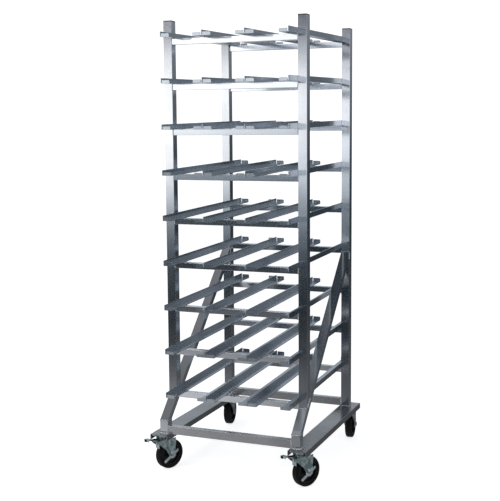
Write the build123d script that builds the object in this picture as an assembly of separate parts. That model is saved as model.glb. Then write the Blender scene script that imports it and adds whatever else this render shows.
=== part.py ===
from build123d import *
import os
from math import cos, radians, tan

os.makedirs("parts", exist_ok=True)

# A mobile rack for large food cans. The cans lie on their sides and roll to the front.
# X is across the rack, Y runs from front to back, Z is up. The origin is on the floor.
# All sizes are in millimetres.

# ---- The four posts ----
rack_width = 635.0            # over the outside faces of the posts
post_head = 100.0             # top front crossbar's underside to the top of the caps
post_size = 38.1              # square tube
post_wall = 2.0
post_front_y = -294.0         # front faces of the front posts
post_spacing = 583.0          # front post to back post, same face to same face
tube_corner_radius = 1.2      # on the long edges of posts, crossbars and cross tubes
over = 1.0                    # how far cutting shapes run past the faces they cut
hexagon_sides = 6

# ---- The plastic caps in the post tops ----
cap_thickness = 4.0
cap_plug_depth = 18.0
cap_plug_clearance = 0.15
cap_corner_radius = 2.0
cap_top_chamfer = 1.0

# ---- The nine levels ----
level_count = 9
lowest_level_height = 138.7   # channels' tops to the lowest front crossbar's underside
level_pitch = 187.6
level_slope = 1.67            # degrees, down towards the front
crossbar_size = 25.4          # square tube
crossbar_wall = 1.6
crossbar_inset = 0.8          # how far the crossbars sit inside the post faces

# ---- The can rails ----
rail_front_overhang = 104.0   # beyond the front posts' front faces
rail_back_overhang = 94.0     # beyond the back posts' back faces
rail_height = 22.5
rail_thickness = 3.0
rail_flange_reach = 40.0      # from a middle rail's centre to its flange edge
outer_flange_width = 41.0
front_lip_height = 14.0
back_lip_height = 18.0
lip_gap = 3.5                 # between a lip and the web
lip_corner_radius = 5.0

# ---- The base channels and the tubes that join them ----
channel_width = 80.0
channel_depth = 24.0
channel_wall = 3.0
channel_inner_lap = 7.4       # inside edge, inside the posts' inner faces
channel_front_overhang = 113.0
channel_back_overhang = 34.0
channel_corner_radius = 2.5
member_depth = 25.4           # the tubes that join the channels stand on them
member_height = 35.0
member_wall = 2.0
member_inset = 1.0            # behind the front faces of the tubes they run between

# ---- The stubs and the diagonal braces ----
stub_overhang = 88.0          # front face, ahead of the posts' front faces
stub_height = 57.5
brace_thickness = 25.4
brace_wall = 2.0
brace_angle = 45.0

# ---- The casters ----
wheel_radius = 63.5
tyre_width = 32.0
tyre_thickness = 15.0
tyre_edge_radius = 7.0
hub_width = 38.0
hub_radius = 17.0
core_web_thickness = 12.0
core_rim_width = 28.0
core_rim_depth = 7.0
core_web_lap = 1.0            # how far the web runs into the rim
wheel_bore_clearance = 0.05
axle_radius = 6.0
axle_head_radius = 10.0
axle_head_height = 6.0
swivel_trail = 30.0
front_swivel_inset = 43.0     # from the channel's front end
back_swivel_inset = 43.0      # from the channel's back end
front_left_turn = -26.0       # degrees about Z
front_right_turn = -30.0
back_left_turn = 7.0
back_right_turn = 6.0
plate_length = 84.0
plate_width = 66.0
plate_thickness = 4.0
plate_corner_radius = 5.0
race_radius = 31.0
race_gap = 0.5
plate_race_height = 16.0
plate_race_chamfer = 3.0
fork_race_chamfer = 1.5
fork_gap = 40.0               # between the legs
fork_thickness = 3.0
crown_clearance = 4.0         # from the tread to the underside of the crown
fork_crown_radius = 35.0
fork_race_height = 6.5
fork_foot_radius = 18.0       # round the axle
leg_front_horn = 13.0         # ahead of the pedal's pivot, at the crown
leg_back_horn = 20.0          # behind the axle, at the crown
leg_front_drop = 9.0          # height of the leg's front end
leg_back_drop = 16.0
leg_waist_height = 26.0       # above the axle
leg_waist_front = 33.0        # ahead of the axle
leg_waist_back = 16.0
rib_radius = 2.5              # pressed ribs on the outside of each leg
rib_proud = 1.5
rib_offsets = (-24.0, -4.0)   # from the axle
rib_foot_height = 24.0        # above the axle
rib_top_drop = 8.0            # below the crown's top
kingpin_radius = 6.0
kingpin_clearance = 0.05
kingpin_head_radius = 10.0
kingpin_head_height = 4.0
kingpin_head_chamfer = 1.5
running_gap = 0.4
bolt_radius = 4.0
bolt_head_radius = 6.5
bolt_head_height = 3.5
bolt_spacing_x = 46.0
bolt_spacing_y = 66.0
bolt_hole_clearance = 0.2

# ---- The lock arms on the outside of the front casters ----
arm_thickness = 3.0
arm_width = 12.0
arm_angle = 31.0              # degrees, rising to the back
arm_front_length = 52.0       # from the axle to the end
arm_back_length = 34.0
arm_hub_radius = 14.0
arm_button_radius = 4.0
arm_button_height = 2.0

# ---- The brake pedals on the front casters ----
pedal_pivot_back = 0.5        # from the front of the wheel back to the pivot
pedal_pivot_drop = 5.0        # below the crown's underside
pedal_pin_radius = 3.0
pedal_pin_clearance = 0.05
pedal_pin_stand_out = 2.0     # beyond the fork's legs
knuckle_radius = 6.0
pedal_neck_width = 30.0
pedal_sheet = 3.0
pedal_neck_back = 3.0         # from the pivot to the sheet's back edge
pedal_neck_front = 19.0       # from the pivot to where the sheet turns aside
pedal_cheek_depth = 9.0
pedal_length = 37.0           # from the pivot to the tip
pedal_tip_outer_x = -37.0     # the tip lies to the left of the wheel
pedal_tip_inner_x = -12.0
pedal_lip_height = 9.0        # the tip's turned-down front edge
pedal_tip_length = 14.0
pedal_elbow_x = 6.0           # where the right-hand edge bends
pedal_elbow_back = 16.0       # behind the tip
pedal_headroom = 1.0          # below the channel's flanges, so that it can swivel
crown_gap = 8.0               # from the pedal's pivot back to the crown's front edge
pad_skin = 2.0                # rubber ahead of the tip and beside it
pad_inner_x = -27.0           # right-hand edge of the rubber
pad_under = 8.0               # rubber below the sheet
pad_gap = 0.3                 # from the rubber to the turned-down edge
shoe_share = 0.44             # the shoe's length, as a share of the wheel's radius
shoe_offset = 0.5             # front of the shoe, behind the pivot
shoe_width = 24.0

# ---- Sizes that follow from those above ----
fork_crown_z = 2 * wheel_radius + crown_clearance
fork_top_z = fork_crown_z + fork_thickness + fork_race_height
plate_under_z = fork_top_z + plate_race_height
plate_top_z = plate_under_z + plate_thickness
channel_under_z = plate_top_z
channel_top_z = channel_under_z + channel_wall
post_x = rack_width / 2 - post_size / 2
inner_x = rack_width / 2 - post_size
middle_rail_x = inner_x / 3    # three lanes of equal width
channel_x = inner_x - channel_inner_lap + channel_width / 2
back_post_y = post_front_y + post_spacing
back_face_y = back_post_y + post_size
channel_front_y = post_front_y - channel_front_overhang
channel_back_y = back_face_y + channel_back_overhang
stub_front_y = post_front_y - stub_overhang
stub_top_z = channel_top_z + stub_height
lowest_level_z = channel_top_z + lowest_level_height
top_level_z = lowest_level_z + (level_count - 1) * level_pitch
rack_height = top_level_z + post_head
pedal_pivot_y = swivel_trail - wheel_radius + pedal_pivot_back
pedal_pivot_z = fork_crown_z - pedal_pivot_drop
pedal_reach = pedal_length - pedal_pivot_y
pedal_top_z = channel_top_z - channel_depth - pedal_headroom
shoe_drop = shoe_share * wheel_radius
leg_front_reach = leg_front_horn - pedal_pivot_y
leg_back_reach = leg_back_horn + swivel_trail
front_swivel_y = channel_front_y + front_swivel_inset
back_swivel_y = channel_back_y - back_swivel_inset
core_radius = wheel_radius - tyre_thickness


def block(x0, x1, y0, y1, z0, z1):
    """A box between the given limits."""
    size = Box(x1 - x0, y1 - y0, z1 - z0)
    return Pos((x0 + x1) / 2, (y0 + y1) / 2, (z0 + z1) / 2) * size


def rounded(shape, axis):
    """The shape with its four long edges rounded."""
    return fillet(shape.edges().filter_by(axis), tube_corner_radius)


def tube_up(x, y0, z0, z1):
    """An upright square post tube whose front face is at y0."""
    y = y0 + post_size / 2
    half = post_size / 2
    hollow = half - post_wall
    outside = block(x - half, x + half, y - half, y + half, z0, z1)
    inside = block(x - hollow, x + hollow, y - hollow, y + hollow, z0 - over, z1 + over)
    return rounded(outside, Axis.Z) - inside


def tube_across(half_length, y0, y1, z0, z1, wall):
    """A tube that runs across the rack between two faces."""
    outside = block(-half_length, half_length, y0, y1, z0, z1)
    end = half_length + over
    inside = block(-end, end, y0 + wall, y1 - wall, z0 + wall, z1 - wall)
    return rounded(outside, Axis.X) - inside


def mirrored(shape):
    """The same shape on the other side of the rack."""
    return mirror(shape, about=Plane.YZ)


def save(name, shapes):
    """One STEP file for one node, from one solid or a list of separate solids."""
    solids = []
    for shape in shapes if isinstance(shapes, list) else [shapes]:
        solids.extend(shape.solids())
    whole = solids[0] if len(solids) == 1 else Compound(children=solids)
    export_step(whole, "parts/" + name + ".step")


# ---- Posts, caps, braces and stubs ----
def half_space_below_brace(margin):
    """Everything below the brace's upper face, in a slab as wide as the rack."""
    far = rack_height
    y0 = stub_front_y
    z0 = stub_top_z
    slope = tan(radians(brace_angle))
    top = [(y0 - far, z0 - far * slope)]
    top.append((y0 + far, z0 + far * slope))
    top.append((y0 + far, z0 - far * slope))
    face = Plane.YZ * make_face(Polyline(*top, close=True))
    return Pos(-margin, 0, 0) * extrude(face, amount=2 * margin)


def front_post(x):
    post = tube_up(x, post_front_y, stub_top_z, rack_height - cap_thickness)
    return post - half_space_below_brace(rack_width)


def back_post(x):
    return tube_up(x, back_post_y, channel_top_z, rack_height - cap_thickness)


def post_cap(x, y0):
    half = post_size / 2
    y = y0 + half
    plug = half - post_wall - cap_plug_clearance
    head_z = rack_height - cap_thickness
    head = block(x - half, x + half, y - half, y + half, head_z, rack_height)
    head = fillet(head.edges().filter_by(Axis.Z), cap_corner_radius)
    head = chamfer(head.faces().sort_by(Axis.Z)[-1].edges(), cap_top_chamfer)
    return head + block(x - plug, x + plug, y - plug, y + plug, head_z - cap_plug_depth, head_z)


def brace(x):
    """A rectangular tube from the top of a stub to the front face of a back post."""
    run = back_post_y - stub_front_y
    half = post_size / 2
    drop = brace_thickness / cos(radians(brace_angle))
    inner_drop = brace_wall / cos(radians(brace_angle))
    slope = tan(radians(brace_angle))

    def section(upper, lower, half_width):
        start = -drop * 2
        end = run + drop * 2
        line = [(stub_front_y + start, stub_top_z + start * slope - upper)]
        line.append((stub_front_y + end, stub_top_z + end * slope - upper))
        line.append((stub_front_y + end, stub_top_z + end * slope - lower))
        line.append((stub_front_y + start, stub_top_z + start * slope - lower))
        face = Plane.YZ * make_face(Polyline(*line, close=True))
        return Pos(x - half_width, 0, 0) * extrude(face, amount=2 * half_width)

    outside = section(0, drop, half)
    inside = section(inner_drop, drop - inner_drop, half - brace_wall)
    keep = block(x - half, x + half, stub_front_y - drop, back_post_y, stub_top_z, rack_height)
    return (outside - inside) & keep


def stub(x):
    return tube_up(x, stub_front_y, channel_top_z, stub_top_z)


# ---- Base ----
def side_channel():
    """A channel on its side with its web on top and its flanges down, on the right."""
    half = channel_width / 2
    z0 = channel_top_z - channel_depth
    outside = block(
        channel_x - half, channel_x + half, channel_front_y, channel_back_y, z0, channel_top_z
    )
    edges = outside.edges().filter_by(Axis.Y).sort_by(Axis.Z)[-2:]
    outside = fillet(edges, channel_corner_radius)
    inside = block(
        channel_x - half + channel_wall,
        channel_x + half - channel_wall,
        channel_front_y - over,
        channel_back_y + over,
        z0 - over,
        channel_under_z,
    )
    channel = outside - inside
    for y in (front_swivel_y, back_swivel_y):
        channel -= bolt_holes(channel_x, y, channel_under_z, channel_top_z)
    return channel


def cross_member(y0):
    """A tube that stands on the channels, between two stubs or two posts."""
    front = y0 + member_inset
    return tube_across(
        inner_x,
        front,
        front + member_depth,
        channel_top_z,
        channel_top_z + member_height,
        member_wall,
    )


# ---- Levels ----
# Each level is drawn flat, with the top of its crossbars at Z = 0 and the front posts'
# front faces at Y = 0, and is then tipped and lifted into place.
def place_level(shape, number):
    z = top_level_z - (number - 1) * level_pitch + crossbar_size
    return Pos(0, post_front_y, z) * Rot(level_slope, 0, 0) * shape


def crossbars():
    back = post_spacing + post_size
    bars = []
    for y in (crossbar_inset, back - crossbar_inset - crossbar_size):
        bars.append(
            tube_across(inner_x, y, y + crossbar_size, -crossbar_size, 0, crossbar_wall)
        )
    return bars


def lip(x0, x1, y0, height, round_at):
    """An upturned end of a rail's flange, with its free top corner rounded."""
    plate = block(x0, x1, y0, y0 + rail_thickness, 0, height)
    corner = plate.edges().filter_by(Axis.Y).sort_by(Axis.Z)[-2:].sort_by(Axis.X)[round_at]
    return fillet([corner], lip_corner_radius)


def rail(x, left_reach, right_reach):
    """A web on a flange that reaches left and right of it, with upturned ends."""
    front = -rail_front_overhang
    back = post_spacing + post_size + rail_back_overhang
    half = rail_thickness / 2
    shape = block(x - half, x + half, front, back, 0, rail_height)
    for reach, side in ((left_reach, -1), (right_reach, 1)):
        if reach == 0:
            continue
        edge = x + side * reach
        shape += block(min(x, edge), max(x, edge), front, back, 0, rail_thickness)
        near = x + side * (half + lip_gap)
        low, high = min(near, edge), max(near, edge)
        round_at = 0 if side < 0 else -1
        shape += lip(low, high, front, front_lip_height, round_at)
        shape += lip(low, high, back - rail_thickness, back_lip_height, round_at)
    return shape


def rails():
    outer_x = inner_x - rail_thickness / 2
    reach = outer_flange_width - rail_thickness / 2
    shapes = [rail(-outer_x, 0, reach)]
    shapes.append(rail(-middle_rail_x, rail_flange_reach, rail_flange_reach))
    shapes.append(rail(middle_rail_x, rail_flange_reach, rail_flange_reach))
    shapes.append(rail(outer_x, reach, 0))
    return shapes


# ---- Casters ----
# A caster is drawn with its swivel axis on Z, its wheel trailing towards +Y and its
# pedal towards -Y, and is then turned and moved to its corner.
def upright(radius, z0, z1):
    return Pos(0, 0, (z0 + z1) / 2) * Cylinder(radius, z1 - z0)


def across(radius, x0, x1, y, z):
    """A cylinder along X."""
    return Pos((x0 + x1) / 2, y, z) * Rot(0, 90, 0) * Cylinder(radius, x1 - x0)


def hexagon_across(radius, x0, x1, y, z):
    """A six-sided prism along X."""
    prism = extrude(RegularPolygon(radius, hexagon_sides), amount=x1 - x0)
    return Pos(x0, y, z) * Rot(0, 90, 0) * prism


def bolt_holes(x, y, z0, z1):
    holes = []
    for dx in (-bolt_spacing_x / 2, bolt_spacing_x / 2):
        for dy in (-bolt_spacing_y / 2, bolt_spacing_y / 2):
            hole = upright(bolt_radius + bolt_hole_clearance, z0 - over, z1 + over)
            holes.append(Pos(x + dx, y + dy, 0) * hole)
    return holes


def top_plate():
    """The fixed plate with the upper ball race pressed into it."""
    plate = block(
        -plate_width / 2,
        plate_width / 2,
        -plate_length / 2,
        plate_length / 2,
        plate_under_z,
        plate_top_z,
    )
    plate = fillet(plate.edges().filter_by(Axis.Z), plate_corner_radius)
    for hole in bolt_holes(0, 0, plate_under_z, plate_top_z):
        plate -= hole
    race = upright(race_radius, fork_top_z + race_gap, plate_under_z)
    rim = race.faces().sort_by(Axis.Z)[0].edges()
    race = chamfer(rim, plate_race_chamfer)
    return plate + race - upright(kingpin_radius, fork_top_z, plate_top_z + over)


def kingpin():
    head_top = fork_crown_z - running_gap
    head = upright(kingpin_head_radius, head_top - kingpin_head_height, head_top)
    head = chamfer(head.faces().sort_by(Axis.Z)[0].edges(), kingpin_head_chamfer)
    return head + upright(kingpin_radius, head_top, plate_top_z)


def plate_bolts():
    """Four bolts that come up through the plate into the channel's web."""
    bolts = []
    for dx in (-bolt_spacing_x / 2, bolt_spacing_x / 2):
        for dy in (-bolt_spacing_y / 2, bolt_spacing_y / 2):
            head = extrude(RegularPolygon(bolt_head_radius, hexagon_sides), amount=bolt_head_height)
            head = Pos(0, 0, plate_under_z - bolt_head_height) * head
            bolt = head + upright(bolt_radius, plate_under_z, channel_top_z)
            bolts.append(Pos(dx, dy, 0) * bolt)
    return bolts


def fork_leg(side):
    """A pressed leg that narrows from the crown down to a round foot at the axle."""
    inner = side * fork_gap / 2
    outer = side * (fork_gap / 2 + fork_thickness)
    low, high = min(inner, outer), max(inner, outer)
    top_z = fork_crown_z + fork_thickness
    waist_z = wheel_radius + leg_waist_height
    outline = [(-leg_front_reach, top_z)]
    outline.append((leg_back_reach, top_z))
    outline.append((leg_back_reach, top_z - leg_back_drop))
    outline.append((swivel_trail + leg_waist_back, waist_z))
    outline.append((swivel_trail + fork_foot_radius, wheel_radius))
    outline.append((swivel_trail - fork_foot_radius, wheel_radius))
    outline.append((swivel_trail - leg_waist_front, waist_z))
    outline.append((-leg_front_reach, top_z - leg_front_drop))
    face = Plane.YZ * make_face(Polyline(*outline, close=True))
    leg = Pos(low, 0, 0) * extrude(face, amount=fork_thickness)
    leg += across(fork_foot_radius, low, high, swivel_trail, wheel_radius)
    for offset in rib_offsets:
        rib = upright(rib_radius, wheel_radius + rib_foot_height, top_z - rib_top_drop)
        rib_x = outer + side * (rib_proud - rib_radius)
        rib = Pos(rib_x, swivel_trail + offset, 0) * rib
        leg += rib - block(-abs(inner), abs(inner), -rack_width, rack_width, 0, rack_height)
    return leg - across(axle_radius, low - over, high + over, swivel_trail, wheel_radius)


def fork(with_pedal):
    half = fork_gap / 2 + fork_thickness
    top_z = fork_crown_z + fork_thickness
    crown = upright(fork_crown_radius, fork_crown_z, top_z)
    crown_front = pedal_pivot_y + crown_gap
    crown &= block(-half, half, crown_front, fork_crown_radius, fork_crown_z, top_z)
    race = upright(race_radius, top_z, fork_top_z)
    race = chamfer(race.faces().sort_by(Axis.Z)[-1].edges(), fork_race_chamfer)
    race &= block(-race_radius, race_radius, crown_front, race_radius, top_z, fork_top_z)
    shape = crown + race + fork_leg(-1) + fork_leg(1)
    if with_pedal:
        shape -= across(pedal_pin_radius, -half * 2, half * 2, pedal_pivot_y, pedal_pivot_z)
    bore = kingpin_radius + kingpin_clearance
    return shape - upright(bore, fork_crown_z - over, fork_top_z + over)


def arm_reach(with_arm):
    """How far the arm holds the axle's head away from the fork."""
    return arm_thickness if with_arm else 0.0


def axle(with_arm):
    """The bolt through the fork and the wheel, with a head and a nut."""
    half = fork_gap / 2 + fork_thickness
    seat = half + arm_reach(with_arm)
    shaft = across(axle_radius, -half - axle_head_height, seat, swivel_trail, wheel_radius)
    head = hexagon_across(
        axle_head_radius, seat, seat + axle_head_height, swivel_trail, wheel_radius
    )
    nut = hexagon_across(
        axle_head_radius, -half - axle_head_height, -half, swivel_trail, wheel_radius
    )
    return shaft + head + nut


def lock_arm():
    """A flat arm held under the axle's head, with a button at each end."""
    seat = fork_gap / 2 + fork_thickness
    half = arm_width / 2
    face = seat + arm_thickness
    arm = block(seat, face, -arm_front_length + half, arm_back_length - half, -half, half)
    arm += across(arm_hub_radius, seat, face, 0, 0)
    for y in (-arm_front_length + half, arm_back_length - half):
        arm += across(half, seat, face, y, 0)
        arm += across(arm_button_radius, face, face + arm_button_height, y, 0)
    arm -= across(axle_radius, seat - over, face + over, 0, 0)
    return Pos(0, swivel_trail, wheel_radius) * Rot(arm_angle, 0, 0) * arm


def tyre():
    outside = across(wheel_radius, -tyre_width / 2, tyre_width / 2, swivel_trail, wheel_radius)
    rims = outside.edges().filter_by(GeomType.CIRCLE)
    outside = fillet(rims, tyre_edge_radius)
    return outside - across(core_radius, -tyre_width, tyre_width, swivel_trail, wheel_radius)


def wheel_core():
    """Rim, thin web and hub of the wheel, with a plain bore."""
    rim = across(core_radius, -core_rim_width / 2, core_rim_width / 2, swivel_trail, wheel_radius)
    rim -= across(core_radius - core_rim_depth, -tyre_width, tyre_width, swivel_trail, wheel_radius)
    web = across(
        core_radius - core_rim_depth + core_web_lap,
        -core_web_thickness / 2,
        core_web_thickness / 2,
        swivel_trail,
        wheel_radius,
    )
    hub = across(hub_radius, -hub_width / 2, hub_width / 2, swivel_trail, wheel_radius)
    bore = axle_radius + wheel_bore_clearance
    return rim + web + hub - across(bore, -hub_width, hub_width, swivel_trail, wheel_radius)


def pedal_sheet_outline():
    """The pedal seen from above: a neck at the pivot that turns aside to the tip."""
    half = pedal_neck_width / 2
    back_y = pedal_pivot_y - pedal_neck_back
    neck_y = pedal_pivot_y - pedal_neck_front
    outline = [(-half, back_y)]
    outline.append((half, back_y))
    outline.append((half, neck_y))
    outline.append((pedal_elbow_x, -pedal_reach + pedal_elbow_back))
    outline.append((pedal_tip_inner_x, -pedal_reach))
    outline.append((pedal_tip_outer_x, -pedal_reach))
    outline.append((pedal_tip_outer_x, -pedal_reach + pedal_tip_length))
    outline.append((-half, neck_y))
    return outline


def pedal():
    """A bent sheet pedal with two cheeks, a pin through them and a brake shoe."""
    back_y = pedal_pivot_y - pedal_neck_back
    sheet_under_z = pedal_top_z - pedal_sheet
    sheet = extrude(make_face(Polyline(*pedal_sheet_outline(), close=True)), amount=pedal_sheet)
    shape = Pos(0, 0, sheet_under_z) * sheet
    low_z = pedal_pivot_z - knuckle_radius
    for side in (-1, 1):
        x1 = side * pedal_neck_width / 2
        x0 = x1 - side * pedal_sheet
        low, high = min(x0, x1), max(x0, x1)
        shape += block(low, high, back_y - pedal_cheek_depth, back_y, low_z, sheet_under_z)
        shape += block(
            low, high, back_y, pedal_pivot_y, low_z, pedal_pivot_z + knuckle_radius
        )
        shape += across(knuckle_radius, low, high, pedal_pivot_y, pedal_pivot_z)
    lip_under_z = pedal_top_z - pedal_lip_height
    shape += block(
        pad_inner_x + pad_gap,
        pedal_tip_inner_x,
        -pedal_reach,
        -pedal_reach + pedal_sheet,
        lip_under_z,
        sheet_under_z,
    )
    shoe_y = pedal_pivot_y + shoe_offset
    shape += block(
        -shoe_width / 2,
        shoe_width / 2,
        shoe_y,
        shoe_y + pedal_sheet,
        pedal_pivot_z - shoe_drop,
        pedal_pivot_z,
    )
    end = fork_gap / 2 + fork_thickness + pedal_pin_stand_out
    radius = pedal_pin_radius - pedal_pin_clearance
    return shape + across(radius, -end, end, pedal_pivot_y, pedal_pivot_z)


def pedal_pad():
    """The rubber cap on the pedal's tip, open towards the pedal's neck."""
    x0 = pedal_tip_outer_x - pad_skin
    x1 = pad_inner_x
    y0 = -pedal_reach - pad_skin
    y1 = -pedal_reach + pedal_tip_length
    low_z = pedal_top_z - pedal_sheet - pad_under
    pad = block(x0, x1, y0, y1, low_z, pedal_top_z)
    hollow = block(
        pedal_tip_outer_x,
        x1 + over,
        -pedal_reach,
        y1 + over,
        pedal_top_z - pedal_sheet,
        pedal_top_z + over,
    )
    return pad - hollow


casters = {
    "front_left": (-channel_x, front_swivel_y, front_left_turn, True),
    "front_right": (channel_x, front_swivel_y, front_right_turn, True),
    "back_left": (-channel_x, back_swivel_y, back_left_turn, False),
    "back_right": (channel_x, back_swivel_y, back_right_turn, False),
}


# ---- Everything in its place ----
def build_frame():
    for name, x in (("left", -post_x), ("right", post_x)):
        save("front_post_" + name, front_post(x))
        save("back_post_" + name, back_post(x))
        save("brace_" + name, brace(x))
        save("stub_" + name, stub(x))
    caps = []
    for x in (-post_x, post_x):
        for y in (post_front_y, back_post_y):
            caps.append(post_cap(x, y))
    save("post_caps", caps)
    right = side_channel()
    save("side_channel_right", right)
    save("side_channel_left", mirrored(right))
    save("rear_member", cross_member(back_post_y))
    save("front_member", cross_member(stub_front_y))


def build_levels():
    bars = crossbars()
    tracks = rails()
    for number in range(1, level_count + 1):
        name = "level_" + str(number)
        save(name + "_crossbars", [place_level(bar, number) for bar in bars])
        save(name + "_rails", [place_level(track, number) for track in tracks])


def build_casters():
    pins = []
    bolts = []
    for name, (x, y, turn, braked) in casters.items():
        fixed = Pos(x, y, 0)
        turned = fixed * Rot(0, 0, turn)
        save("caster_plate_" + name, fixed * top_plate())
        pins.append(fixed * kingpin())
        bolts.extend(fixed * bolt for bolt in plate_bolts())
        save("fork_" + name, turned * fork(braked))
        save("axle_" + name, turned * axle(braked))
        save("tyre_" + name, turned * tyre())
        save("wheel_core_" + name, turned * wheel_core())
        if braked:
            save("pedal_" + name, turned * pedal())
            save("pedal_pad_" + name, turned * pedal_pad())
            save("lock_arm_" + name, turned * lock_arm())
    save("kingpins", pins)
    save("caster_bolts", bolts)


build_frame()
build_levels()
build_casters()
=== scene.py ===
"""Looks of a mobile can storage rack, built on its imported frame."""
import math

import bmesh
import bpy
from bpy.props import FloatProperty, FloatVectorProperty, PointerProperty
from mathutils import Matrix, Vector


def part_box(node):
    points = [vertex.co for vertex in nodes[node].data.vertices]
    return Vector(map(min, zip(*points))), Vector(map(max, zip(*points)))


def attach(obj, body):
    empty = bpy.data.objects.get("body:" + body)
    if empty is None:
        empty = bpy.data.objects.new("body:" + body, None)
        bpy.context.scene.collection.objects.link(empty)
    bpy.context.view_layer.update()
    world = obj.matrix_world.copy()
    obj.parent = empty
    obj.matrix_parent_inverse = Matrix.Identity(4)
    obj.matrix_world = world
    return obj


bl_info = {
    "name": "Mobile can rack",
    "version": (1, 0, 0),
    "blender": (4, 5, 0),
    "location": "View3D > Sidebar > Can rack",
    "description": "Finishes, welds, casters and studio of a mobile can storage rack",
    "category": "Object",
}

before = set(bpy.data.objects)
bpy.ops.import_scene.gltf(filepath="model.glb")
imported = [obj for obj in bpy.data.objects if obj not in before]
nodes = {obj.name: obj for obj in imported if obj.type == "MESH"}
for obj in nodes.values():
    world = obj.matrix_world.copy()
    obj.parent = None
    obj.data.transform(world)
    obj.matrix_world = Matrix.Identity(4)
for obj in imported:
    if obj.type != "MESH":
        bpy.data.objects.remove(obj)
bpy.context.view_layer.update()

LEVELS = sorted({int(name.split("_")[1]) for name in nodes if name.startswith("level_")})
FLOOR_HALF = 14.0  # half the floor's side, in metres
LINES_UP = (1, 1, 60)  # drawing lines along Z, along Y and along X
LINES_BACK = (1, 60, 1)
LINES_ACROSS = (60, 1, 1)
RIPPLE = 0.9  # length of a weld's ripple, as a share of its bead's radius
LEVEL_BEAD = 0.8  # bead sizes, as shares of the size in the settings
STUB_FOOT_BEAD = 1.9

CAMERA_PLACE = (1.6104, -3.965, 1.4329)
CAMERA_TURN = 21.24  # degrees, to the left of straight ahead
CAMERA_DIP = 6.14
CAMERA_ROLL = -0.26
CAMERA_LENS = 69.78
CAMERA_SHIFT = (-0.0521, -0.0246)
# Place, aim, size and power in watts of each lamp.
LAMPS = {
    "key": ((-2.6, -4.2, 3.6), (0, 0, 1.0), (2.0, 2.0), 30),
    "fill": ((3.8, -1.5, 3.0), (0, 0, 0.8), (1.5, 2.0), 14),
    "top": ((-1.2, -2.2, 4.2), (0, 0, 0.4), (2.4, 1.4), 30),
}

# Brightness of the surroundings by height: 0 straight down, 0.5 level, 1 straight up.
FRONT_BANDS = [
    (0.0, (0.26, 0.26, 0.27)),
    (0.34, (0.24, 0.245, 0.25)),
    (0.365, (0.13, 0.14, 0.15)),
    (0.388, (0.035, 0.042, 0.05)),
    (0.405, (0.006, 0.012, 0.017)),
    (0.43, (0.006, 0.014, 0.019)),
    (0.447, (0.05, 0.075, 0.10)),
    (0.465, (0.27, 0.33, 0.39)),
    (0.485, (0.90, 0.95, 1.02)),
    (0.50, (1.22, 1.23, 1.27)),
    (0.533, (1.22, 1.23, 1.27)),
    (0.544, (0.50, 0.55, 0.62)),
    (0.549, (0.01, 0.02, 0.04)),
    (0.57, (0.01, 0.02, 0.04)),
    (0.75, (0.10, 0.12, 0.15)),
    (1.0, (0.38, 0.39, 0.41)),
]
BACK_BANDS = [
    (0.0, (0.30, 0.30, 0.30)),
    (0.40, (0.20, 0.20, 0.21)),
    (0.455, (0.52, 0.54, 0.56)),
    (0.49, (0.56, 0.60, 0.64)),
    (0.51, (0.36, 0.42, 0.47)),
    (0.545, (0.44, 0.52, 0.60)),
    (0.60, (0.46, 0.52, 0.58)),
    (0.68, (0.40, 0.43, 0.46)),
    (1.0, (0.38, 0.39, 0.41)),
]
SIDE_BANDS = [
    (0.0, (0.16, 0.16, 0.17)),
    (0.37, (0.10, 0.105, 0.11)),
    (0.41, (0.045, 0.05, 0.055)),
    (0.45, (0.03, 0.04, 0.048)),
    (0.48, (0.035, 0.045, 0.057)),
    (0.52, (0.13, 0.15, 0.17)),
    (0.56, (0.24, 0.26, 0.29)),
    (1.0, (0.20, 0.20, 0.21)),
]
FAR_RIGHT = (0.27, 0.29, 0.30)
FRONT_LEFT = (1.5, 1.5, 1.5)
FLOOR_LEFT = (0.60, 0.60, 0.62)
CEILING_LEFT = (0.17, 0.175, 0.18)
BACKDROP = (1.15, 1.15, 1.15)


# ---------------------------------------------------------------- shader maths
class Value:
    """A node's output that can be used in sums."""

    def __init__(self, shader, socket):
        self.shader = shader
        self.socket = socket

    def _with(self, operation, left, right):
        return self.shader.node(
            "ShaderNodeMath", {"operation": operation}, {0: left, 1: right}
        )

    def __add__(self, other):
        return self._with("ADD", self, other)

    def __radd__(self, other):
        return self._with("ADD", other, self)

    def __sub__(self, other):
        return self._with("SUBTRACT", self, other)

    def __rsub__(self, other):
        return self._with("SUBTRACT", other, self)

    def __mul__(self, other):
        return self._with("MULTIPLY", self, other)

    def __rmul__(self, other):
        return self._with("MULTIPLY", other, self)


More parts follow.
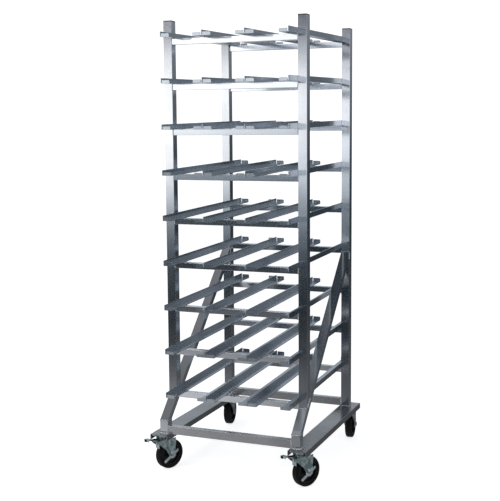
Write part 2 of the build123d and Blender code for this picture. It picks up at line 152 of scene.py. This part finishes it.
class Shader:
    """A material or world and the nodes added to it."""

    def __init__(self, owner):
        owner.use_nodes = True
        self.tree = owner.node_tree
        self.tree.nodes.clear()

    def node(self, kind, settings=None, sockets=None, output=0):
        """Add a node, set it up, fill its sockets and return one of its outputs."""
        made = self.tree.nodes.new(kind)
        for key, value in (settings or {}).items():
            if key == "stops":
                self._stops(made.color_ramp, value)
            else:
                setattr(made, key, value)
        for key, value in (sockets or {}).items():
            if isinstance(value, Value):
                self.tree.links.new(value.socket, made.inputs[key])
            else:
                made.inputs[key].default_value = value
        return Value(self, made.outputs[output]) if len(made.outputs) else made

    @staticmethod
    def _stops(ramp, stops):
        while len(ramp.elements) < len(stops):
            ramp.elements.new(0.5)
        for element, (place, colour) in zip(ramp.elements, stops):
            element.position = place
            element.color = (*colour, 1.0)

    def noise(self, scale, detail=3.0, roughness=0.5, stretch=(1, 1, 1), where="Object"):
        """Noise over the object, stretched along its axes."""
        place = self.node("ShaderNodeTexCoord", output=where)
        place = self.node(
            "ShaderNodeMapping", {"vector_type": "TEXTURE"}, {"Vector": place, "Scale": stretch}
        )
        return self.node(
            "ShaderNodeTexNoise",
            {},
            {"Vector": place, "Scale": scale, "Detail": detail, "Roughness": roughness},
        )

    def band(self, value, low, high):
        """0 at low, 1 at high, smooth between."""
        return self.node(
            "ShaderNodeMapRange",
            {"interpolation_type": "SMOOTHSTEP"},
            {"Value": value, "From Min": low, "From Max": high},
        )

    def mix(self, factor, first, second):
        """A colour between two colours."""
        return self.node(
            "ShaderNodeMix",
            {"data_type": "RGBA"},
            {"Factor": factor, 6: first, 7: second},
            output=2,
        )

    def ramp(self, stops, value):
        """A colour ramp through the given places and colours."""
        return self.node("ShaderNodeValToRGB", {"stops": stops}, {"Fac": value})

    def bump(self, height, distance):
        """A normal raised by a height value; the distance is in metres."""
        return self.node("ShaderNodeBump", {}, {"Height": height, "Distance": distance})

    def surface(self, **sockets):
        """The material's one surface shader."""
        names = {key.replace("_", " "): value for key, value in sockets.items()}
        made = self.node("ShaderNodeBsdfPrincipled", {}, names)
        self.node("ShaderNodeOutputMaterial", {}, {"Surface": made})


def colour(rgb):
    """A colour socket's value."""
    return (*rgb, 1.0)


def scaled(rgb, share):
    """A colour made lighter or darker, no brighter than white."""
    return [min(1.0, value * share) for value in rgb]


def new_material(name):
    """A material and its Shader."""
    material = bpy.data.materials.new(name)
    return material, Shader(material)


def brushed_aluminium(name, tint, shade, rough, grain, dark=0.18, depth=0.00003):
    """Mill finish aluminium. grain is how far its drawing lines run along each axis."""
    material, s = new_material(name)
    lines = s.noise(1500.0, 4.0, 0.6, stretch=grain)
    wide = s.noise(260.0, 3.0, 0.5, stretch=grain)
    cloud = s.noise(5.0, 4.0, 0.55)
    scuffs = s.band(s.noise(26.0, 3.0, 0.6), 0.62, 0.80)
    base = s.mix(s.band(cloud, 0.35, 0.65), colour(shade), colour(tint))
    base = s.mix(s.band(lines, 0.3, 0.7) * dark, base, colour(scaled(tint, 0.6)))
    base = s.mix(scuffs * 0.15, base, colour(scaled(shade, 0.8)))
    roughness = rough + lines * 0.03 + wide * 0.03 + scuffs * 0.03
    fine = s.bump(lines * 0.6 + wide * 0.4, depth)
    s.surface(Base_Color=base, Metallic=1.0, Roughness=roughness, Normal=fine)
    return material


def zinc_plate(name, tint, shade, rough):
    """Bright zinc on pressed steel, a little uneven."""
    material, s = new_material(name)
    cloud = s.noise(45.0, 4.0, 0.6)
    spangle = s.noise(240.0, 3.0, 0.5)
    mask = s.band(cloud, 0.35, 0.65)
    base = s.mix(mask, colour(shade), colour(tint))
    roughness = rough + spangle * 0.12
    s.surface(
        Base_Color=base, Metallic=1.0, Roughness=roughness, Normal=s.bump(spangle, 0.00008)
    )
    return material


def black_moulding(name, tint, dust, rough, gloss):
    """Moulded black plastic or rubber with a little dust in its texture."""
    material, s = new_material(name)
    cloud = s.noise(30.0, 4.0, 0.6)
    grain = s.noise(500.0, 3.0, 0.6)
    mask = s.band(cloud, 0.45, 0.75)
    base = s.mix(mask * 0.6, colour(tint), colour(dust))
    s.surface(
        Base_Color=base,
        Metallic=0.0,
        Roughness=rough + grain * 0.18 + mask * 0.08,
        Specular_IOR_Level=gloss,
        Normal=s.bump(grain, 0.0001),
    )
    return material


def weld_metal(name):
    """Frosted weld metal, patchy in tone and roughness."""
    material, s = new_material(name)
    cloud = s.noise(180.0, 3.0, 0.6)
    base = s.mix(s.band(cloud, 0.35, 0.65), colour((0.62, 0.63, 0.64)), colour((0.92, 0.93, 0.94)))
    s.surface(
        Base_Color=base,
        Metallic=1.0,
        Roughness=0.14 + cloud * 0.16,
        Normal=s.bump(cloud, 0.0002),
    )
    return material


# ---------------------------------------------------------------- mesh tools
def new_piece(name, mesh_maker, material, body):
    """A new object from a bmesh function, riding on a body."""
    bm = bmesh.new()
    mesh_maker(bm)
    bmesh.ops.recalc_face_normals(bm, faces=bm.faces)
    mesh = bpy.data.meshes.new(name)
    bm.to_mesh(mesh)
    bm.free()
    piece = bpy.data.objects.new(name, mesh)
    bpy.context.scene.collection.objects.link(piece)
    mesh.materials.append(material)
    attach(piece, body)
    return piece


def paint(node, material):
    """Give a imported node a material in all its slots."""
    mesh = nodes[node].data
    if not mesh.materials:
        mesh.materials.append(material)
    for index in range(len(mesh.materials)):
        mesh.materials[index] = material


def settings():
    """The rack's settings in this scene."""
    return bpy.context.scene.can_rack


class Beads:
    """Rippled weld beads collected into one piece."""

    sides = 8
    rings_per_ripple = 3
    trough = 0.88  # a ripple's thinnest and how much it swells, as shares of the radius
    swell = 0.16
    tip = 0.35  # the bead's size at its very ends, and how fast it grows from there
    growth = 6.0

    def __init__(self, radius):
        self.bm = bmesh.new()
        self.radius = radius
        self.ripple = radius * RIPPLE

    def add(self, start, end, radius=None):
        """A bead from start to end, tapered at its ends."""
        start, end = Vector(start), Vector(end)
        along = end - start
        length = along.length
        along.normalize()
        across = along.orthogonal().normalized()
        upward = along.cross(across)
        count = max(4, round(length / self.ripple) * self.rings_per_ripple)
        rings = []
        for step in range(count + 1):
            share = step / count
            wave = (step % self.rings_per_ripple) / self.rings_per_ripple
            size = (radius or self.radius) * (
                self.trough + self.swell * math.sin(math.pi * wave)
            )
            size *= min(1.0, self.tip + self.growth * min(share, 1 - share))
            centre = start + along * (share * length)
            ring = []
            for side in range(self.sides):
                turn = 2 * math.pi * side / self.sides
                place = centre + (across * math.cos(turn) + upward * math.sin(turn)) * size
                ring.append(self.bm.verts.new(place))
            rings.append(ring)
        for first, second in zip(rings, rings[1:]):
            for side in range(self.sides):
                after = (side + 1) % self.sides
                self.bm.faces.new((first[side], first[after], second[after], second[side]))
        self.bm.faces.new(list(reversed(rings[0])))
        self.bm.faces.new(rings[-1])

    def round_box(self, lo, hi, z, faces="front back left right", radius=None):
        """Beads along the sides of a box's outline at one height."""
        corners = {
            "front": ((lo.x, lo.y, z), (hi.x, lo.y, z)),
            "back": ((lo.x, hi.y, z), (hi.x, hi.y, z)),
            "left": ((lo.x, lo.y, z), (lo.x, hi.y, z)),
            "right": ((hi.x, lo.y, z), (hi.x, hi.y, z)),
        }
        for face in faces.split():
            self.add(*corners[face], radius)

    def tube_end(self, lo, hi, x):
        """Beads round the end of a tube that runs across the rack."""
        self.add((x, lo.y, lo.z), (x, lo.y, hi.z))
        self.add((x, hi.y, lo.z), (x, hi.y, hi.z))
        self.add((x, lo.y, lo.z), (x, hi.y, lo.z))
        self.add((x, lo.y, hi.z), (x, hi.y, hi.z))

    def finish(self, name, material, body):
        """Turn all the beads into one piece."""
        bm = self.bm

        def fill(target):
            mesh = bpy.data.meshes.new("beads")
            bm.to_mesh(mesh)
            target.from_mesh(mesh)
            bpy.data.meshes.remove(mesh)

        piece = new_piece(name, fill, material, body)
        piece.data.polygons.foreach_set("use_smooth", [True] * len(piece.data.polygons))
        bm.free()
        return piece


def loose_boxes(node):
    """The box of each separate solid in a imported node, front one first."""
    bm = bmesh.new()
    bm.from_mesh(nodes[node].data)
    bmesh.ops.remove_doubles(bm, verts=bm.verts, dist=1e-6)
    waiting = set(bm.verts)
    boxes = []
    while waiting:
        edge = [waiting.pop()]
        found = []
        while edge:
            vert = edge.pop()
            found.append(vert.co.copy())
            for link in vert.link_edges:
                other = link.other_vert(vert)
                if other in waiting:
                    waiting.remove(other)
                    edge.append(other)
        lo = Vector([min(co[axis] for co in found) for axis in range(3)])
        hi = Vector([max(co[axis] for co in found) for axis in range(3)])
        boxes.append((lo, hi))
    bm.free()
    return sorted(boxes, key=lambda box: (round(box[0].y, 3), box[0].x))


def heights_at(node, y, reach=0.002):
    """Lowest and highest point of a node near one Y."""
    near = [v.co.z for v in nodes[node].data.vertices if abs(v.co.y - y) < reach]
    return min(near), max(near)


# ---------------------------------------------------------------- settings
class CanRackSettings(bpy.types.PropertyGroup):
    aluminium_tint: FloatVectorProperty(
        name="Aluminium",
        description="Colour of the bright aluminium",
        subtype="COLOR",
        size=3,
        default=(0.80, 0.82, 0.85),
        min=0.0,
        max=1.0,
    )
    rail_tint: FloatVectorProperty(
        name="Rails",
        description="Colour of the can rails",
        subtype="COLOR",
        size=3,
        default=(0.66, 0.71, 0.76),
        min=0.0,
        max=1.0,
    )
    base_tint: FloatVectorProperty(
        name="Base",
        description="Colour of the base channels",
        subtype="COLOR",
        size=3,
        default=(0.74, 0.74, 0.75),
        min=0.0,
        max=1.0,
    )
    bead_size: FloatProperty(
        name="Weld bead",
        description="Radius of the weld beads",
        default=0.003,
        min=0.001,
        max=0.01,
        subtype="DISTANCE",
        unit="LENGTH",
    )
    aluminium_roughness: FloatProperty(
        name="Aluminium roughness",
        description="How dull the aluminium is",
        default=0.10,
        min=0.02,
        max=1.0,
        subtype="FACTOR",
    )


# ---------------------------------------------------------------- pieces
class CANRACK_OT_posts(bpy.types.Operator):
    """Finish the posts, braces, stubs and post caps"""

    bl_idname = "canrack.posts"
    bl_label = "Posts and braces"

    def execute(self, context):
        s = settings()
        tint = list(s.aluminium_tint)
        metal = brushed_aluminium(
            "post_aluminium", tint, scaled(tint, 0.86), s.aluminium_roughness, LINES_UP
        )
        for name in nodes:
            if name.startswith(("front_post", "back_post", "stub", "brace")):
                paint(name, metal)
        caps = black_moulding("cap_plastic", (0.006, 0.006, 0.007), (0.02, 0.02, 0.02), 0.45, 0.15)
        paint("post_caps", caps)
        return {"FINISHED"}


class CANRACK_OT_levels(bpy.types.Operator):
    """Finish the crossbars and can rails of every level"""

    bl_idname = "canrack.levels"
    bl_label = "Crossbars and rails"

    def execute(self, context):
        s = settings()
        tint = list(s.rail_tint)
        rough = s.aluminium_roughness + 0.06
        rail = brushed_aluminium("rail_aluminium", tint, scaled(tint, 0.82), rough, LINES_BACK)
        # Painted light: the crossbars get the posts' aluminium made 1.15 times lighter, a lit copy
        # of the same metal.
        tint = scaled(s.aluminium_tint, 1.15)
        lit_bar = brushed_aluminium(
            "crossbar_aluminium",
            tint,
            scaled(tint, 0.92),
            s.aluminium_roughness,
            LINES_ACROSS,
            dark=0.1,
            depth=0.00001,
        )
        for number in LEVELS:
            paint(f"level_{number}_rails", rail)
            paint(f"level_{number}_crossbars", lit_bar)
        return {"FINISHED"}


class CANRACK_OT_base(bpy.types.Operator):
    """Finish the base channels and cross tubes"""

    bl_idname = "canrack.base"
    bl_label = "Base"

    def execute(self, context):
        s = settings()
        tint = list(s.base_tint)
        shade = scaled(tint, 0.85)
        cross = brushed_aluminium("cross_tube_aluminium", tint, shade, 0.18, LINES_ACROSS)
        # Painted shade: the channels get the cross tubes' aluminium made 0.66 times as light, a
        # shaded copy of the same metal.
        tint = scaled(tint, 0.66)
        shade = scaled(tint, 0.85)
        along = brushed_aluminium("channel_aluminium", tint, shade, 0.20, LINES_BACK)
        for name in nodes:
            if name.startswith("side_channel"):
                paint(name, along)
            if name.endswith("_member"):
                paint(name, cross)
        return {"FINISHED"}


class CANRACK_OT_casters(bpy.types.Operator):
    """Finish the casters, their fasteners and the brake pedals"""

    bl_idname = "canrack.casters"
    bl_label = "Casters"

    def execute(self, context):
        looks = {
            ("fork", "caster_plate", "pedal_front"): zinc_plate(
                "caster_zinc", (0.66, 0.75, 0.76), (0.26, 0.34, 0.35), 0.14
            ),
            # Painted highlight: the lock arms get a lighter, glossier copy of the caster zinc,
            # standing in for the light they catch.
            ("lock_arm",): zinc_plate("arm_zinc_painted_highlight", (0.90, 0.95, 0.95), (0.62, 0.70, 0.71), 0.10),
            ("axle", "kingpins", "caster_bolts"): zinc_plate(
                "bolt_zinc", (0.70, 0.72, 0.74), (0.5, 0.52, 0.54), 0.25
            ),
            ("tyre",): black_moulding(
                "tyre_rubber", (0.003, 0.003, 0.003), (0.014, 0.013, 0.013), 0.42, 0.2
            ),
            ("wheel_core",): black_moulding(
                "wheel_plastic", (0.004, 0.004, 0.005), (0.018, 0.018, 0.018), 0.3, 0.35
            ),
            ("pedal_pad",): black_moulding(
                "pedal_rubber", (0.004, 0.004, 0.004), (0.015, 0.015, 0.015), 0.5, 0.2
            ),
        }
        for name in nodes:
            for starts, material in looks.items():
                if name.startswith(starts):
                    paint(name, material)
        return {"FINISHED"}


class CANRACK_OT_welds(bpy.types.Operator):
    """Weld beads where the tubes, channels and crossbars meet"""

    bl_idname = "canrack.welds"
    bl_label = "Welds"

    def levels(self, metal, size):
        """Round both ends of every crossbar."""
        for number in LEVELS:
            beads = Beads(size)
            for lo, hi in loose_boxes(f"level_{number}_crossbars"):
                for x in (lo.x, hi.x):
                    beads.tube_end(lo, hi, x)
            beads.finish(f"welds_level_{number}", metal, "rack")

    def base(self, metal, size):
        """Round the stubs, the back posts' feet and the ends of the cross tubes."""
        beads = Beads(size)
        for side in ("left", "right"):
            lo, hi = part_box("stub_" + side)
            beads.round_box(lo, hi, lo.z, "front left right", size * STUB_FOOT_BEAD)
            beads.round_box(lo, hi, lo.z, "back")
            beads.round_box(lo, hi, hi.z)
            post_lo, post_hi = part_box("back_post_" + side)
            beads.round_box(post_lo, post_hi, post_lo.z)
        for member in ("front_member", "rear_member"):
            lo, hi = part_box(member)
            for x in (lo.x, hi.x):
                beads.tube_end(lo, hi, x)
        beads.finish("welds_base", metal, "rack")

    def braces(self, metal, size):
        """Where the braces meet the back posts and the front posts stand on them."""
        beads = Beads(size)
        for side in ("left", "right"):
            lo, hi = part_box("brace_" + side)
            low, high = heights_at("brace_" + side, hi.y)
            beads.add((lo.x, hi.y, low), (hi.x, hi.y, low))
            beads.add((lo.x, hi.y, high), (hi.x, hi.y, high))
            beads.add((lo.x, hi.y, low), (lo.x, hi.y, high))
            beads.add((hi.x, hi.y, low), (hi.x, hi.y, high))
            post = "front_post_" + side
            lo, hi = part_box(post)
            front = heights_at(post, lo.y)[0]
            back = heights_at(post, hi.y)[0]
            for x in (lo.x, hi.x):
                beads.add((x, lo.y, front), (x, hi.y, back))
            beads.add((lo.x, lo.y, front), (hi.x, lo.y, front))
            beads.add((lo.x, hi.y, back), (hi.x, hi.y, back))
        beads.finish("welds_braces", metal, "rack")

    def execute(self, context):
        metal = weld_metal("weld_aluminium")
        size = settings().bead_size
        self.levels(metal, size * LEVEL_BEAD)
        self.base(metal, size)
        self.braces(metal, size)
        return {"FINISHED"}


# ---------------------------------------------------------------- studio
class CANRACK_OT_studio(bpy.types.Operator):
    """Floor, soft light, surroundings and camera"""

    bl_idname = "canrack.studio"
    bl_label = "Studio"

    def floor(self):
        """A pale, faintly glowing floor that stays out of the metal's reflections."""
        mesh = bpy.data.meshes.new("studio_floor")
        half = FLOOR_HALF
        mesh.from_pydata(
            [(-half, -half, 0), (half, -half, 0), (half, half, 0), (-half, half, 0)],
            [],
            [(0, 1, 2, 3)],
        )
        floor = bpy.data.objects.new("studio_floor", mesh)
        bpy.context.scene.collection.objects.link(floor)
        material, s = new_material("studio_floor")
        cloud = s.noise(0.6, 2.0, 0.5)
        base = s.mix(cloud, colour((0.90, 0.90, 0.90)), colour((0.93, 0.93, 0.93)))
        s.surface(Base_Color=base, Roughness=0.9, Emission_Color=base, Emission_Strength=0.86)
        mesh.materials.append(material)
        floor.visible_glossy = False

    def surroundings(self):
        """What the metal reflects: soft bright and dark bands round a white backdrop."""
        world = bpy.data.worlds.new("studio_world")
        bpy.context.scene.world = world
        s = Shader(world)
        way = s.node("ShaderNodeTexCoord", output="Generated")
        x = s.node("ShaderNodeSeparateXYZ", {}, {"Vector": way}, output="X")
        y = s.node("ShaderNodeSeparateXYZ", {}, {"Vector": way}, output="Y")
        z = s.node("ShaderNodeSeparateXYZ", {}, {"Vector": way}, output="Z")
        height = z * 0.5 + 0.5
        # Behind the rack: one set of bands, another to its right, even grey at the far right.
        rear = s.mix(s.band(x, -0.05, 0.15), s.ramp(BACK_BANDS, height), s.ramp(SIDE_BANDS, height))
        rear = s.mix(s.band(x, 0.55, 0.85), rear, colour(FAR_RIGHT))
        # In front: the bright band is brighter at the left, and so is the floor there.
        front = s.ramp(FRONT_BANDS, height)
        bright = s.mix(s.band(x, -0.30, -0.48), front, colour(FRONT_LEFT))
        inside = s.band(height, 0.455, 0.49) * s.band(height, 0.549, 0.533)
        front = s.mix(inside, front, bright)
        low = s.band(height, 0.38, 0.34) * s.band(x, -0.32, -0.42)
        front = s.mix(low, front, colour(FLOOR_LEFT))
        around = s.mix(s.band(y, -0.15, 0.25), front, rear)
        # Overhead, a darker patch at the left.
        high = s.band(height, 0.80, 0.92) * s.band(x, -0.36, -0.44)
        around = s.mix(high, around, colour(CEILING_LEFT))
        # The backdrop itself is plain white.
        seen = s.node("ShaderNodeLightPath", output="Is Camera Ray")
        shown = s.mix(seen, around, colour(BACKDROP))
        light = s.node("ShaderNodeBackground", {}, {"Color": shown, "Strength": 1.0})
        s.node("ShaderNodeOutputWorld", {}, {"Surface": light})

    def lamp(self, name, place, aim, size, power):
        """A soft rectangular lamp; power in watts."""
        data = bpy.data.lights.new(name, "AREA")
        data.shape = "RECTANGLE"
        data.size, data.size_y = size
        data.energy = power
        lamp = bpy.data.objects.new(name, data)
        bpy.context.scene.collection.objects.link(lamp)
        lamp.location = place
        lamp.rotation_euler = (Vector(aim) - Vector(place)).to_track_quat("-Z", "Y").to_euler()
        return lamp

    def camera(self):
        """A long lens at chest height, ahead of the rack and to its right."""
        data = bpy.data.cameras.new("camera")
        camera = bpy.data.objects.new("camera", data)
        bpy.context.scene.collection.objects.link(camera)
        turn, dip, roll = map(math.radians, (CAMERA_TURN, CAMERA_DIP, CAMERA_ROLL))
        ahead = Vector(
            (-math.sin(turn) * math.cos(dip), math.cos(turn) * math.cos(dip), -math.sin(dip))
        )
        side = Vector((math.cos(turn), math.sin(turn), 0))
        up = side.cross(ahead)
        right = side * math.cos(roll) + up * math.sin(roll)
        top = up * math.cos(roll) - side * math.sin(roll)
        axes = Matrix((right, top, -ahead)).transposed().to_4x4()
        camera.matrix_world = Matrix.Translation(CAMERA_PLACE) @ axes
        data.lens = CAMERA_LENS
        data.shift_x, data.shift_y = CAMERA_SHIFT
        bpy.context.scene.camera = camera

    def execute(self, context):
        self.floor()
        self.surroundings()
        lamps = {name: self.lamp(name, *setup) for name, setup in LAMPS.items()}
        lamps["top"].visible_glossy = False
        self.camera()
        scene = context.scene
        scene.view_settings.view_transform = "Standard"
        scene.view_settings.look = "None"
        return {"FINISHED"}


class CANRACK_PT_panel(bpy.types.Panel):
    """The rack's pieces, one button each"""

    bl_label = "Can rack"
    bl_idname = "CANRACK_PT_panel"
    bl_space_type = "VIEW_3D"
    bl_region_type = "UI"
    bl_category = "Can rack"

    def draw(self, context):
        layout = self.layout
        for name in CanRackSettings.__annotations__:
            layout.prop(context.scene.can_rack, name)
        for operator in OPERATORS:
            layout.operator(operator.bl_idname)


OPERATORS = (
    CANRACK_OT_posts,
    CANRACK_OT_levels,
    CANRACK_OT_base,
    CANRACK_OT_casters,
    CANRACK_OT_welds,
    CANRACK_OT_studio,
)
CLASSES = (CanRackSettings, *OPERATORS, CANRACK_PT_panel)


def register():
    """Add the settings, operators and panel."""
    for item in CLASSES:
        bpy.utils.register_class(item)
    bpy.types.Scene.can_rack = PointerProperty(type=CanRackSettings)


def unregister():
    """Take them away again."""
    del bpy.types.Scene.can_rack
    for item in reversed(CLASSES):
        bpy.utils.unregister_class(item)


def main():
    """Run every operator in order."""
    register()
    for operator in OPERATORS:
        group, name = operator.bl_idname.split(".")
        getattr(getattr(bpy.ops, group), name)()


if __name__ == "__main__":
    main()
